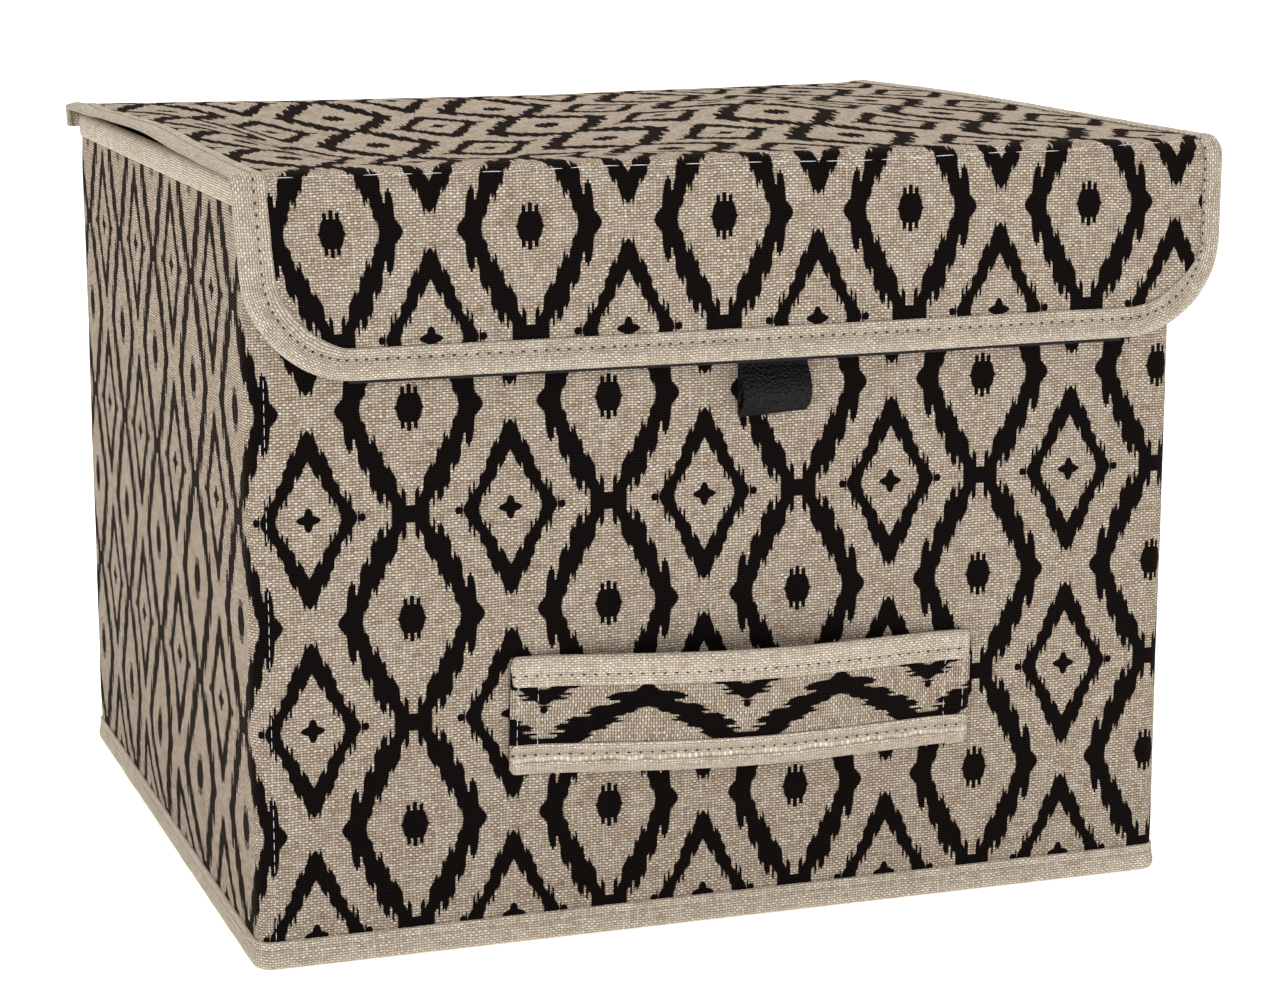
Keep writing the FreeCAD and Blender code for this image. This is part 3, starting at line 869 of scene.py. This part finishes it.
# how the lid's edges and its fold have warped, in millimetres: (place along the edge, rise)
LEFT_EDGE = [(-180, 0.5), (-95, 2.0), (10, 3.5), (85, 2.7), (140, 1.3), (180, 0.3)]
RIGHT_EDGE = [(-180, 2.4), (60, 4.2), (180, 3.1)]
REAR_EDGE = [(-196, 0.3), (-165, 1.1), (-85, 0.1), (30, 0.0), (100, 1.2), (175, 2.3), (205, 3.1)]
FRONT_FOLD = [
    (-196, -1.3), (-160, -0.9), (-95, -0.7), (-50, 0.2), (25, 1.4), (70, 1.3), (150, 0.3), (205, -1.0),
]
# its two broad humps, in millimetres: height, centre and width along x, centre and width along y
SAG = (-15.1, -92, 103, -6, 128)
SWELL = (5.3, 67, 62, -20, 74)


def hump(x, y, shape):
    height, centre_x, width_x, centre_y, width_y = shape
    return height * bump(x, centre_x * MM, width_x * MM) * bump(y, centre_y * MM, width_y * MM)


def lid_shape(x, y):
    """How far the lid has warped up or down at a place in plan."""
    u = min(max((x - PANEL_LEFT) / (PANEL_RIGHT - PANEL_LEFT), 0.0), 1.0)
    v = min(max((y + BEND_FRONT) / LID_LENGTH, 0.0), 1.0)
    left = between(y / MM, LEFT_EDGE)
    right = between(y / MM, RIGHT_EDGE)
    rear = between(x / MM, REAR_EDGE)
    sides = left + (right - left) * u
    back = rear - (LEFT_EDGE[-1][1] + (RIGHT_EDGE[-1][1] - LEFT_EDGE[-1][1]) * u)
    edges = sides + back * ease(v)
    inside = ease((HALF_X - 6 * MM - abs(x)) / (68 * MM)) * ease((HALF_Y - 6 * MM - abs(y)) / (48 * MM))
    slack = 0.7 * ripple(x, y, 34 * MM, 6.0)
    fold = between(x / MM, FRONT_FOLD) - edges
    roll = fold * ease((-HALF_Y - 0.5 * MM - y) / (8 * MM))
    return (edges + inside * (hump(x, y, SAG) + hump(x, y, SWELL) + slack) + roll) * MM


def pressed(x, t, r):
    """The lid's layers lie closer together than the flap's, most of all at the left."""
    squeeze = 0.36 + 0.17 * ease((-110 * MM - x) / (70 * MM))
    # the left rear corner stays thick
    squeeze -= 0.27 * ease((-150 * MM - x) / (40 * MM)) * ease((t - LID_END + 45 * MM) / (35 * MM))
    over_lid = ease((t - FLAP_LENGTH) / (BEND_LENGTH + 4 * MM)) * (1 - ease((t - LID_END) / BEND_LENGTH))
    return r * (1 - squeeze * over_lid)


def left_tuck(t):
    """How far the left edge has drawn in: a little along the lid, more down the flap."""
    down_flap = 1 - min(t / FLAP_LENGTH, 1.0)
    along_lid = bump(t, LID_START + 190 * MM, 95 * MM)
    return (1.4 * (1 - ease((t - LID_START) / (60 * MM))) + 5.2 * down_flap + 2.8 * along_lid) * MM


def flap_edge(x):
    """Height of the flap's lower edge, which rises a little to the right."""
    return TOP_LOW.z + 1.6 * MM + 0.8 * MM * ease((x - 20 * MM) / (170 * MM))


def flap_bow(x, t):
    """How far the flap stands forward of its upright plane."""
    low = 1 - t / FLAP_LENGTH
    across = (x - PANEL_MIDDLE) / (PANEL_RIGHT - PANEL_MIDDLE)
    return (0.9 * low * (1 - across**2) + 0.3 * low * ripple(x, t, 50 * MM, 9.0)) * MM


def panel_point(x, t, r):
    x += left_tuck(t) * ease((-120 * MM - x) / (70 * MM))
    if t <= FLAP_LENGTH:
        y = -(BEND_FRONT + r)
        top = BEND_Z + lid_shape(x, y)
        low = flap_edge(x)
        return Vector((x, y - flap_bow(x, t), low + (top - low) * t / FLAP_LENGTH))
    if t <= LID_START:
        turn = (t - FLAP_LENGTH) / BEND_LENGTH * math.pi / 2
        r = pressed(x, t, r)
        y, z = -BEND_FRONT - r * math.cos(turn), BEND_Z + r * math.sin(turn)
    elif t <= LID_END:
        y, z = t - LID_START - BEND_FRONT, BEND_Z + pressed(x, t, r)
    else:
        turn = min((t - LID_END) / BEND_LENGTH, 1.0) * math.pi / 2
        r = pressed(x, t, r)
        y, z = BEND_REAR + r * math.sin(turn), BEND_Z + r * math.cos(turn)
    down = max(0.0, t - LID_END - BEND_LENGTH)
    return Vector((x, y, z - down + lid_shape(x, min(y, BEND_REAR))))


def side_cut(t, inset):
    """How much the rounded corner takes off each side of the flap at t."""
    radius = FLAP_CORNER - inset
    drop = radius - (t - inset)
    if drop <= 0:
        return 0.0
    return radius - math.sqrt(max(0.0, radius**2 - min(drop, radius) ** 2))


def panel_stations(start, end):
    """Rows from start to end, closer together in the rounded corners and the bends."""
    marks = [start]
    for low, high, step in (
        (-3 * MM, 8 * MM, 1 * MM),
        (8 * MM, FLAP_LENGTH - 6 * MM, 3 * MM),
        (FLAP_LENGTH - 6 * MM, LID_START + 4 * MM, 1.2 * MM),
        (LID_START + 4 * MM, LID_END, 5 * MM),
        (LID_END, LID_END + BEND_LENGTH, 1.2 * MM),
        (LID_END + BEND_LENGTH, LID_END + 60 * MM, 3 * MM),
    ):
        for t in spread(low, high, step):
            if start + 0.3 * MM < t < end - 0.3 * MM and t - marks[-1] > 0.2 * MM:
                marks.append(t)
    return marks + [end]


def panel_layer(name, r, start, end, inset, material, thickness, columns=60, sides=None):
    """One layer of the lid and flap as a sheet with its edge inset all round."""
    ts = panel_stations(start, end)
    shares = [i / columns for i in range(columns + 1)]
    left, right = sides or (PANEL_LEFT, PANEL_RIGHT)

    def x_at(share, t):
        cut = inset + side_cut(t, inset)
        return (left + cut) + share * (right - left - 2 * cut)

    def place(share, t):
        return panel_point(x_at(share, t), t, r)

    def flat(i, j):
        t = ts[j]
        x = x_at(shares[i], t)
        height = t - FLAP_LENGTH
        if t < FLAP_LENGTH:
            low = flap_edge(x)
            height = (low + (BEND_Z - low) * t / FLAP_LENGTH) - BEND_Z
        if material != PRINTED:
            return (x, height)
        return ((x + LID_PRINT[0]) * LID_PRINT_SCALE, height + BEND_Z + LID_PRINT[1])

    piece = grid(name, shares, ts, place, flat, material)
    thicken(piece, thickness)
    return piece


# the cloth that hinges the lid, sewn to the rear wall
HINGE_HALF = HALF_X - 2 * MM
HINGE_LENGTH = BEND_LENGTH + 21 * MM


def bend_at_fold(piece):
    """Bake the piece's transform into its mesh; it is not fixed to the lid or the flap."""
    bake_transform(piece)


def make_lid():
    cover = panel_layer("lid_and_flap_cloth", R_COVER, 0.8 * MM, LID_END, 0.8 * MM, PRINTED, 0.5 * MM, 90)
    bend_at_fold(cover)
    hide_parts("top_cover")

    lining_end = LID_END + 2 * MM
    lining = panel_layer("lid_and_flap_lining", R_LINING, 0.8 * MM, lining_end, 0.8 * MM, LINING, 0.4 * MM)
    bend_at_fold(lining)
    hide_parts("top_lining")

    for label, start, end, thickness in (
        ("lid", LID_START + 3 * MM, LID_END - 1 * MM, 1.4 * MM),
        ("flap", 1.6 * MM, FLAP_LENGTH - 4 * MM, 2.2 * MM),
    ):
        board = panel_layer(f"warped_{label}_board", R_BOARD, start, end, 1.6 * MM, BOARD, thickness, 50)
        settle(board, label, label + "_board")

    # a strip of the dark lining that reaches below the flap's lower tape: a painted shadow along the flap's
    # lower edge
    shadow_hem = panel_layer("flap_shadow_hem", 0.15 * MM, -2.5 * MM, 15 * MM, 1.5 * MM, LINING, 0.35 * MM)
    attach(shadow_hem, "flap")

    tail_end = LID_END + HINGE_LENGTH
    sides = (-HINGE_HALF, HINGE_HALF)
    tail = panel_layer("hinge_cloth", R_COVER, LID_END, tail_end, 0.0, PRINTED, CLOTH, 90, sides)
    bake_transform(tail)

    def path(d):
        x, t = 4 * MM - HINGE_HALF + d, tail_end - 5 * MM
        return on_surface(panel_point, x, t, R_COVER, 0.02 * MM)

    length = 2 * HINGE_HALF - 8 * MM
    row = stitch_row("hinge_stitches", path, length, 3 * MM, 1.2 * MM, 0.22 * MM, WHITE_THREAD)
    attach(row, "bin")


def edge_walk():
    """The panel's edge from the rear left corner, round the flap, to the rear right corner.

    Each station is (x, t) on the edge and the inward direction in the flat panel.
    """
    walk = []
    side_ts = list(reversed(panel_stations(FLAP_CORNER, LID_END)))
    for t in side_ts:
        walk.append((PANEL_LEFT, t, 1.0, 0.0))
    arc = [math.radians(90 * i / 14) for i in range(1, 14)]
    for turn in arc:
        x = PANEL_LEFT + FLAP_CORNER - FLAP_CORNER * math.cos(turn)
        t = FLAP_CORNER - FLAP_CORNER * math.sin(turn)
        walk.append((x, t, math.cos(turn), math.sin(turn)))
    for x in spread(PANEL_LEFT + FLAP_CORNER, PANEL_RIGHT - FLAP_CORNER, 5 * MM):
        walk.append((x, 0.0, 0.0, 1.0))
    for turn in reversed(arc):
        x = PANEL_RIGHT - FLAP_CORNER + FLAP_CORNER * math.cos(turn)
        t = FLAP_CORNER - FLAP_CORNER * math.sin(turn)
        walk.append((x, t, -math.cos(turn), math.sin(turn)))
    for t in reversed(side_ts):
        walk.append((PANEL_RIGHT, t, -1.0, 0.0))
    return walk


EDGE_STITCH = 7.4 * MM


def tape_reach(x, t):
    """The tape was folded narrower along the right side, and runs wide at the left corner."""
    right = ease((x - (PANEL_RIGHT - FLAP_CORNER)) / (20 * MM)) * ease((t - 8 * MM) / (28 * MM))
    left = ease(((PANEL_LEFT + FLAP_CORNER) - x) / (20 * MM)) * bump(t, 10 * MM, 25 * MM)
    return TAPE_REACH - 3.8 * MM * right + 1.6 * MM * left


def make_edge_tape():
    walk = edge_walk()
    groove = EDGE_STITCH / MM
    # round the tape's section in millimetres: inward, layer, and True where inward is from the inner edge
    section = [
        (0.0, 4.85, True), (0.0, 5.30, True), (-0.5, 5.55, True), (groove + 0.9, 5.5, False),
        (groove, 4.95, False), (groove - 1.0, 5.9, False), (3.8, 6.75, False), (1.2, 6.3, False),
        (-0.6, 4.9, False), (-0.9, 3.4, False), (-0.4, 2.1, False), (1.0, 1.0, False),
        (3.4, 0.3, False), (groove - 1.0, 0.3, False), (-0.6, 0.3, True), (0.0, 0.5, True),
        (0.0, 0.95, True), (3.0, 0.95, False), (0.4, 1.4, False), (0.2, 2.8, False),
        (0.4, 4.5, False), (3.0, 4.85, False),
    ]
    profile = [(TAPE_REACH + a * MM if inner else a * MM, r * MM) for a, r, inner in section]
    across = running_lengths([(a, b, 0) for a, b in profile], loop=True)
    along = running_lengths([(x, t, 0) for x, t, _, _ in walk])

    def place(k, r):
        x, t, inward_x, inward_t = walk[k]
        inward, layer = profile[r]
        if section[r][2]:
            inward += tape_reach(x, t) - TAPE_REACH + 0.25 * MM * ripple(along[k], 0, 9 * MM, 7.0)
        swell = 0.30 * MM * ripple(along[k], inward, 10 * MM, 4.0) if layer > R_COVER else 0.0
        return panel_point(x + inward * inward_x, t + inward * inward_t, layer + swell)

    tape = grid(
        "edge_tape", range(len(walk)), range(len(profile)), place,
        lambda i, j: (along[i], across[j]), EDGE, loop_rows=True, caps=True,
    )
    soften(tape)
    bend_at_fold(tape)
    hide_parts("top_binding")

    def path(d):
        k = min(len(walk) - 2, bisect.bisect_right(along, d) - 1)
        share = (d - along[k]) / max(along[k + 1] - along[k], 1e-9)
        x, t, inward_x, inward_t = (a + (b - a) * share for a, b in zip(walk[k], walk[k + 1]))
        x, t = x + EDGE_STITCH * inward_x, t + EDGE_STITCH * inward_t
        return on_surface(panel_point, x, t, 5.3 * MM)

    row = stitch_row("edge_stitches", path, along[-1], STITCH, STITCH_GAP, 0.23 * MM, TAPE_THREAD, holes=True)
    bend_at_fold(row)


def make_tape_tails():
    """The edge tape's two ends at the lid's rear corners: a long one at the left, a stub at the right."""
    tails = (("left", PANEL_LEFT, 1.0, BEND_LENGTH + 7 * MM), ("right", PANEL_RIGHT, -1.0, 3.5 * MM))
    for label, edge, side, length in tails:
        ts = spread(LID_END - 0.5 * MM, LID_END + length, 1.3 * MM)
        section = [
            (8.4, 4.3), (8.4, 5.3), (7.0, 5.9), (0.6, 5.7), (-0.7, 4.8),
            (-0.9, 3.4), (-0.4, 2.4), (1.0, 2.2), (1.6, 3.0), (1.4, 4.1),
        ]
        section = [(a * MM, b * MM) for a, b in section]
        if side < 0:
            section.reverse()
        across = running_lengths([(a, b, 0) for a, b in section], loop=True)

        def place(t, r):
            inward, layer = section[r]
            down = ease((t - LID_END) / (14 * MM))
            return panel_point(edge + side * (inward + 1.0 * MM * down), t, layer + 0.6 * MM * down)

        tail = grid(
            "edge_tape_tail_" + label, ts, range(len(section)), place,
            lambda i, j: (ts[i], across[j]), EDGE, loop_rows=True, caps=True,
        )
        soften(tail)
        if label == "left":
            # this one lies against the wall's corner, and stays there as the lid opens
            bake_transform(tail)
        else:
            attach(tail, "lid")


# how far the row wanders towards the lid, in millimetres: (x, distance along the cloth)
FOLD_STITCH_DRIFT = [(-196, 0.0), (-60, -0.8), (50, -3.0), (120, -1.0), (205, 3.5)]


def make_fold_stitches():
    """Long white stitches that wander along the fold."""
    inset = TAPE_REACH + 1 * MM

    def path(d):
        x = PANEL_LEFT + inset + d
        t = FLAP_LENGTH + 0.35 * BEND_LENGTH + between(x / MM, FOLD_STITCH_DRIFT) * MM
        return on_surface(panel_point, x, t, R_COVER, 0.03 * MM)

    length = PANEL_RIGHT - PANEL_LEFT - 2 * inset
    row = stitch_row("fold_stitches", path, length, 7.6 * MM, 3.6 * MM, 0.15 * MM, WHITE_THREAD)
    bend_at_fold(row)


# ---------------- handle

STRAP_LOW, STRAP_HIGH = box("handle_strip")
STRAP_MIDDLE = (STRAP_LOW.x + STRAP_HIGH.x) / 2
STRAP_HALF = 96.5 * MM
STRAP_SEWN = 14 * MM
STRAP_BOW = 8 * MM
STRAP_HEIGHT = 46.5 * MM
STRAP_CENTRE_Z = (STRAP_LOW.z + STRAP_HIGH.z) / 2
STRAP_TILT = math.radians(1.3)


def strap_point(s, h, layer):
    """s along the strap from its middle, h up from its middle, layer off the wall."""
    free = STRAP_HALF - STRAP_SEWN
    bow = STRAP_BOW * max(0.0, 1 - (s / free) ** 2) ** 1.15 if abs(s) < free else 0.0
    sag = 0.8 * MM * bump(s, 0, 50 * MM)
    x = STRAP_MIDDLE + s * math.cos(STRAP_TILT) + h * math.sin(STRAP_TILT)
    z = STRAP_CENTRE_Z - s * math.sin(STRAP_TILT) + h * math.cos(STRAP_TILT) - sag
    wall = wall_bulge(x, z) + 0.1 * MM
    return Vector((x, -HALF_Y - layer - bow - wall, z))


# the strap tape's section in millimetres: inward from the strap's edge, and off the wall
STRAP_SECTION = [
    (12.0, 2.25), (12.0, 2.7), (11.0, 2.95), (9.0, 2.95), (7.6, 2.6), (6.0, 3.1), (3.0, 3.4),
    (0.8, 3.1), (-0.2, 2.2), (-0.2, 1.0), (0.8, 0.15), (3.0, 0.05), (11.4, 0.1), (12.0, 0.4),
    (12.0, 0.75), (3.0, 0.75), (1.2, 1.2), (1.2, 1.9), (3.0, 2.25),
]


def make_handle():
    stations = spread(-STRAP_HALF, STRAP_HALF, 3 * MM)
    half = STRAP_HEIGHT / 2
    rises = spread(-half + 2 * MM, half - 2 * MM, 3 * MM)

    def flat(i, j):
        # the strip was cut across the cloth, so its print is turned a quarter turn
        return (rises[j] + STRAP_PRINT[0], stations[i] + STRAP_PRINT[1])

    def layer_at(layer):
        return lambda s, h: strap_point(s, h, layer)

    bin_sheet("printed_strap", stations, rises, layer_at(2.2 * MM), flat, PRINTED, 0.7 * MM, "handle_strip")
    bin_sheet("strap_backing", stations, rises, layer_at(1.3 * MM), None, LINING, 0.5 * MM, "handle_backing")

    section = [(inward * MM, layer * MM) for inward, layer in STRAP_SECTION]
    across = running_lengths([(a, b, 0) for a, b in section], loop=True)
    for label, side in (("upper", 1.0), ("lower", -1.0)):
        loop = section if side > 0 else list(reversed(section))

        def place(s, r, loop=loop, side=side):
            inward, layer = loop[r]
            swell = 0.15 * MM * ripple(s, side, 14 * MM, 3.0) if layer > 2.2 * MM else 0.0
            return strap_point(s, side * (half - inward), layer + swell)

        tape = grid(
            "strap_tape_" + label, stations, range(len(loop)), place,
            lambda i, j: (stations[i], across[j]), PLAIN, loop_rows=True, caps=True,
        )
        soften(tape)
        settle(tape, "bin", f"handle_{label}_binding")

        def path(d, side=side):
            s, h = d - STRAP_HALF + 1 * MM, side * (half - 7.6 * MM)
            return on_surface(strap_point, s, h, 2.7 * MM, 0.08 * MM)

        name, length = "strap_stitches_" + label, 2 * STRAP_HALF - 2 * MM
        row = stitch_row(name, path, length, STITCH, STITCH_GAP, 0.23 * MM, TAPE_THREAD, holes=True)
        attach(row, "bin")

    for end, side in (("left", -1.0), ("right", 1.0)):
        for k, inset in enumerate((2.8 * MM, 11.0 * MM)):
            def path(d, side=side, inset=inset):
                s, h = side * (STRAP_HALF - inset), d - half + 0.5 * MM
                on_tape = abs(h) > half - 12 * MM
                layer = (3.15 if on_tape else 2.25) * MM
                return strap_point(s, h, layer), Vector((0, -1, 0))

            name, length = f"strap_end_stitches_{end}_{k + 1}", STRAP_HEIGHT - 1 * MM
            row = stitch_row(name, path, length, 3.4 * MM, 0.9 * MM, 0.15 * MM, WHITE_THREAD)
            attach(row, "bin")


# ---------------- pull tab


def make_pull_tab():
    """A leather-look strip folded double, its ends sewn behind the flap."""
    gap = 0.65 * MM
    back, front = TAB_HIGH.y - gap, TAB_LOW.y + gap
    top, low = TAB_ENDS_HIGH.z, TAB_LOW.z + 1.6 * MM
    # the loop's bulge stays below the dark lining strip that is painted as the flap's shadow
    shadow_hem = TAB_HIGH.z - 2.5 * MM
    middle, half = (back + front) / 2, (back - front) / 2
    route = [(back, top + (low - top) * i / 14) for i in range(15)]
    for i in range(1, 8):
        turn = math.pi * i / 8
        route.append((middle + half * math.cos(turn), low - half * math.sin(turn)))
    for i in range(15):
        # the front of the loop bellies forward below the flap's shadow hem, the dark lining strip painted as
        # the flap's shadow
        z = low + (shadow_hem - low) * i / 14
        route.append((front - 5.0 * MM * math.sin(math.pi * (i / 14) ** 0.8) ** 0.9, z))
    route += [(front, shadow_hem + (top - shadow_hem) * i / 6) for i in range(1, 7)]
    lengths = running_lengths([(y, z, 0) for y, z in route])
    xs = spread(TAB_LOW.x, TAB_HIGH.x, 2 * MM)

    def place(x, k):
        y, z = route[k]
        droop = 1.5 * MM * (TAB_HIGH.x - x) / (TAB_HIGH.x - TAB_LOW.x) * ease((shadow_hem - z) / (shadow_hem - low))
        return (x, y, z - droop)

    tab = grid("leather_tab", xs, range(len(route)), place, lambda i, j: (xs[i], lengths[j]), LEATHER)
    thicken(tab, 1.2 * MM, offset=0.0)
    edge = tab.modifiers.new("round_edges", "BEVEL")
    edge.width = 0.35 * MM
    edge.segments = 2
    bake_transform(tab)
    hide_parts("pull_tab", "tab_sewn_ends")


# ---------------- base insert


def make_insert():
    """A board in a sewn sleeve, soft along its edges."""
    margin = Vector((0.6 * MM, 0.6 * MM, 0))
    low, high = INSERT_LOW - margin, INSERT_HIGH + margin
    middle_z = (low.z + high.z) / 2
    xs = spread(low.x, high.x, 8 * MM)
    ys = spread(low.y, high.y, 8 * MM)
    for step in (0.15 * MM, 0.5 * MM, 1 * MM, 3 * MM):
        xs += [low.x + step, high.x - step]
        ys += [low.y + step, high.y - step]
    xs.sort()
    ys.sort()

    def place(x, y, side):
        inner = min(high.x - abs(x), high.y - abs(y))
        rise = min(inner / (1 * MM), 1.0) ** 0.5 * (high.z - middle_z - 0.1 * MM)
        slack = 0.1 * MM * ripple(x, y, 40 * MM, 2.0) * ease(inner / (20 * MM))
        return (x, y, middle_z + side * (rise + slack))

    points, faces, uvs = [], [], []
    wide = len(xs)
    for side in (1.0, -1.0):
        first = len(points)
        points += [place(x, y, side) for y in ys for x in xs]
        for j in range(len(ys) - 1):
            for a in range(first + j * wide, first + (j + 1) * wide - 1):
                face = (a, a + 1, a + wide + 1, a + wide)
                faces.append(face if side > 0 else tuple(reversed(face)))
                uvs += [(points[v][0], points[v][1]) for v in faces[-1]]
    sleeve = new_piece("insert_sleeve", points, faces, LINING, uvs)
    weld = sleeve.modifiers.new("weld", "WELD")
    weld.merge_threshold = 0.05 * MM
    settle(sleeve, "base_insert", "insert_cover")


# ---------------- everything


def dress_boards():
    """The stiff boards keep their solids and get the board material."""
    for node in ("front_board", "rear_board", "left_board", "right_board", "insert_board"):
        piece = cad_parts[node]
        piece.data.materials.clear()
        piece.data.materials.append(BOARD)


def declare_sheets():
    """The size each piece of cloth was cut to, what holds it, and what is sewn to it, as a list; the list is
    only read through and nothing is done with it.
    """
    walls = ["front_board", "rear_board", "left_board", "right_board"]
    lid = ["lid_board", "flap_board"]
    floor_low, floor_high = box("bottom_cover")
    floor_size = (floor_high.x - floor_low.x, floor_high.y - floor_low.y)
    lid_size = (PANEL_RIGHT - PANEL_LEFT, LID_END)
    strap_size = (2 * STRAP_HALF, STRAP_HEIGHT)
    strap_trim = ("strap_tape", "strap_stitches", "strap_end")
    wall_trim = ("rim_tape", "foot_tape", "foot_stitches", "corner_stitches")
    lid_trim = ("edge_tape", "edge_stitches", "fold_stitches")
    for name, flat, held, rests_on, sewn_on in (
        ("printed_walls", (LOOP, WALL_HIGH.z - WALL_LOW.z), "stretched", walls, wall_trim),
        ("wall_lining", (LOOP, LINING_HIGH.z - LINING_LOW.z), "stretched", walls, ()),
        ("bottom_cloth", floor_size, "stretched", ["floor"], ()),
        ("bottom_inner_cloth", floor_size, "laid", ["bottom_cloth"], ()),
        ("lid_and_flap_cloth", lid_size, "stretched", lid, lid_trim),
        ("lid_and_flap_lining", lid_size, "stretched", lid, ("flap_shadow_hem",)),
        ("hinge_cloth", (2 * HINGE_HALF, HINGE_LENGTH), "stretched", ["rear_board"], ("hinge_stitches",)),
        ("printed_strap", strap_size, "hung", ["front_board"], strap_trim),
        ("strap_backing", strap_size, "hung", ["front_board"], ()),
    ):
        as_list(rests_on)


make_camera()
make_light()
make_floor()
make_walls()
make_rim_tape()
make_foot_tape()
make_corner_stitches()
make_bottom()
make_lid()
make_edge_tape()
make_tape_tails()
make_fold_stitches()
make_handle()
make_pull_tab()
make_insert()
dress_boards()
declare_sheets()

boxes = {"cad": CAD_BOX, "visual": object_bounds()}
{name: [list(corner) for corner in corners] for name, corners in boxes.items()}
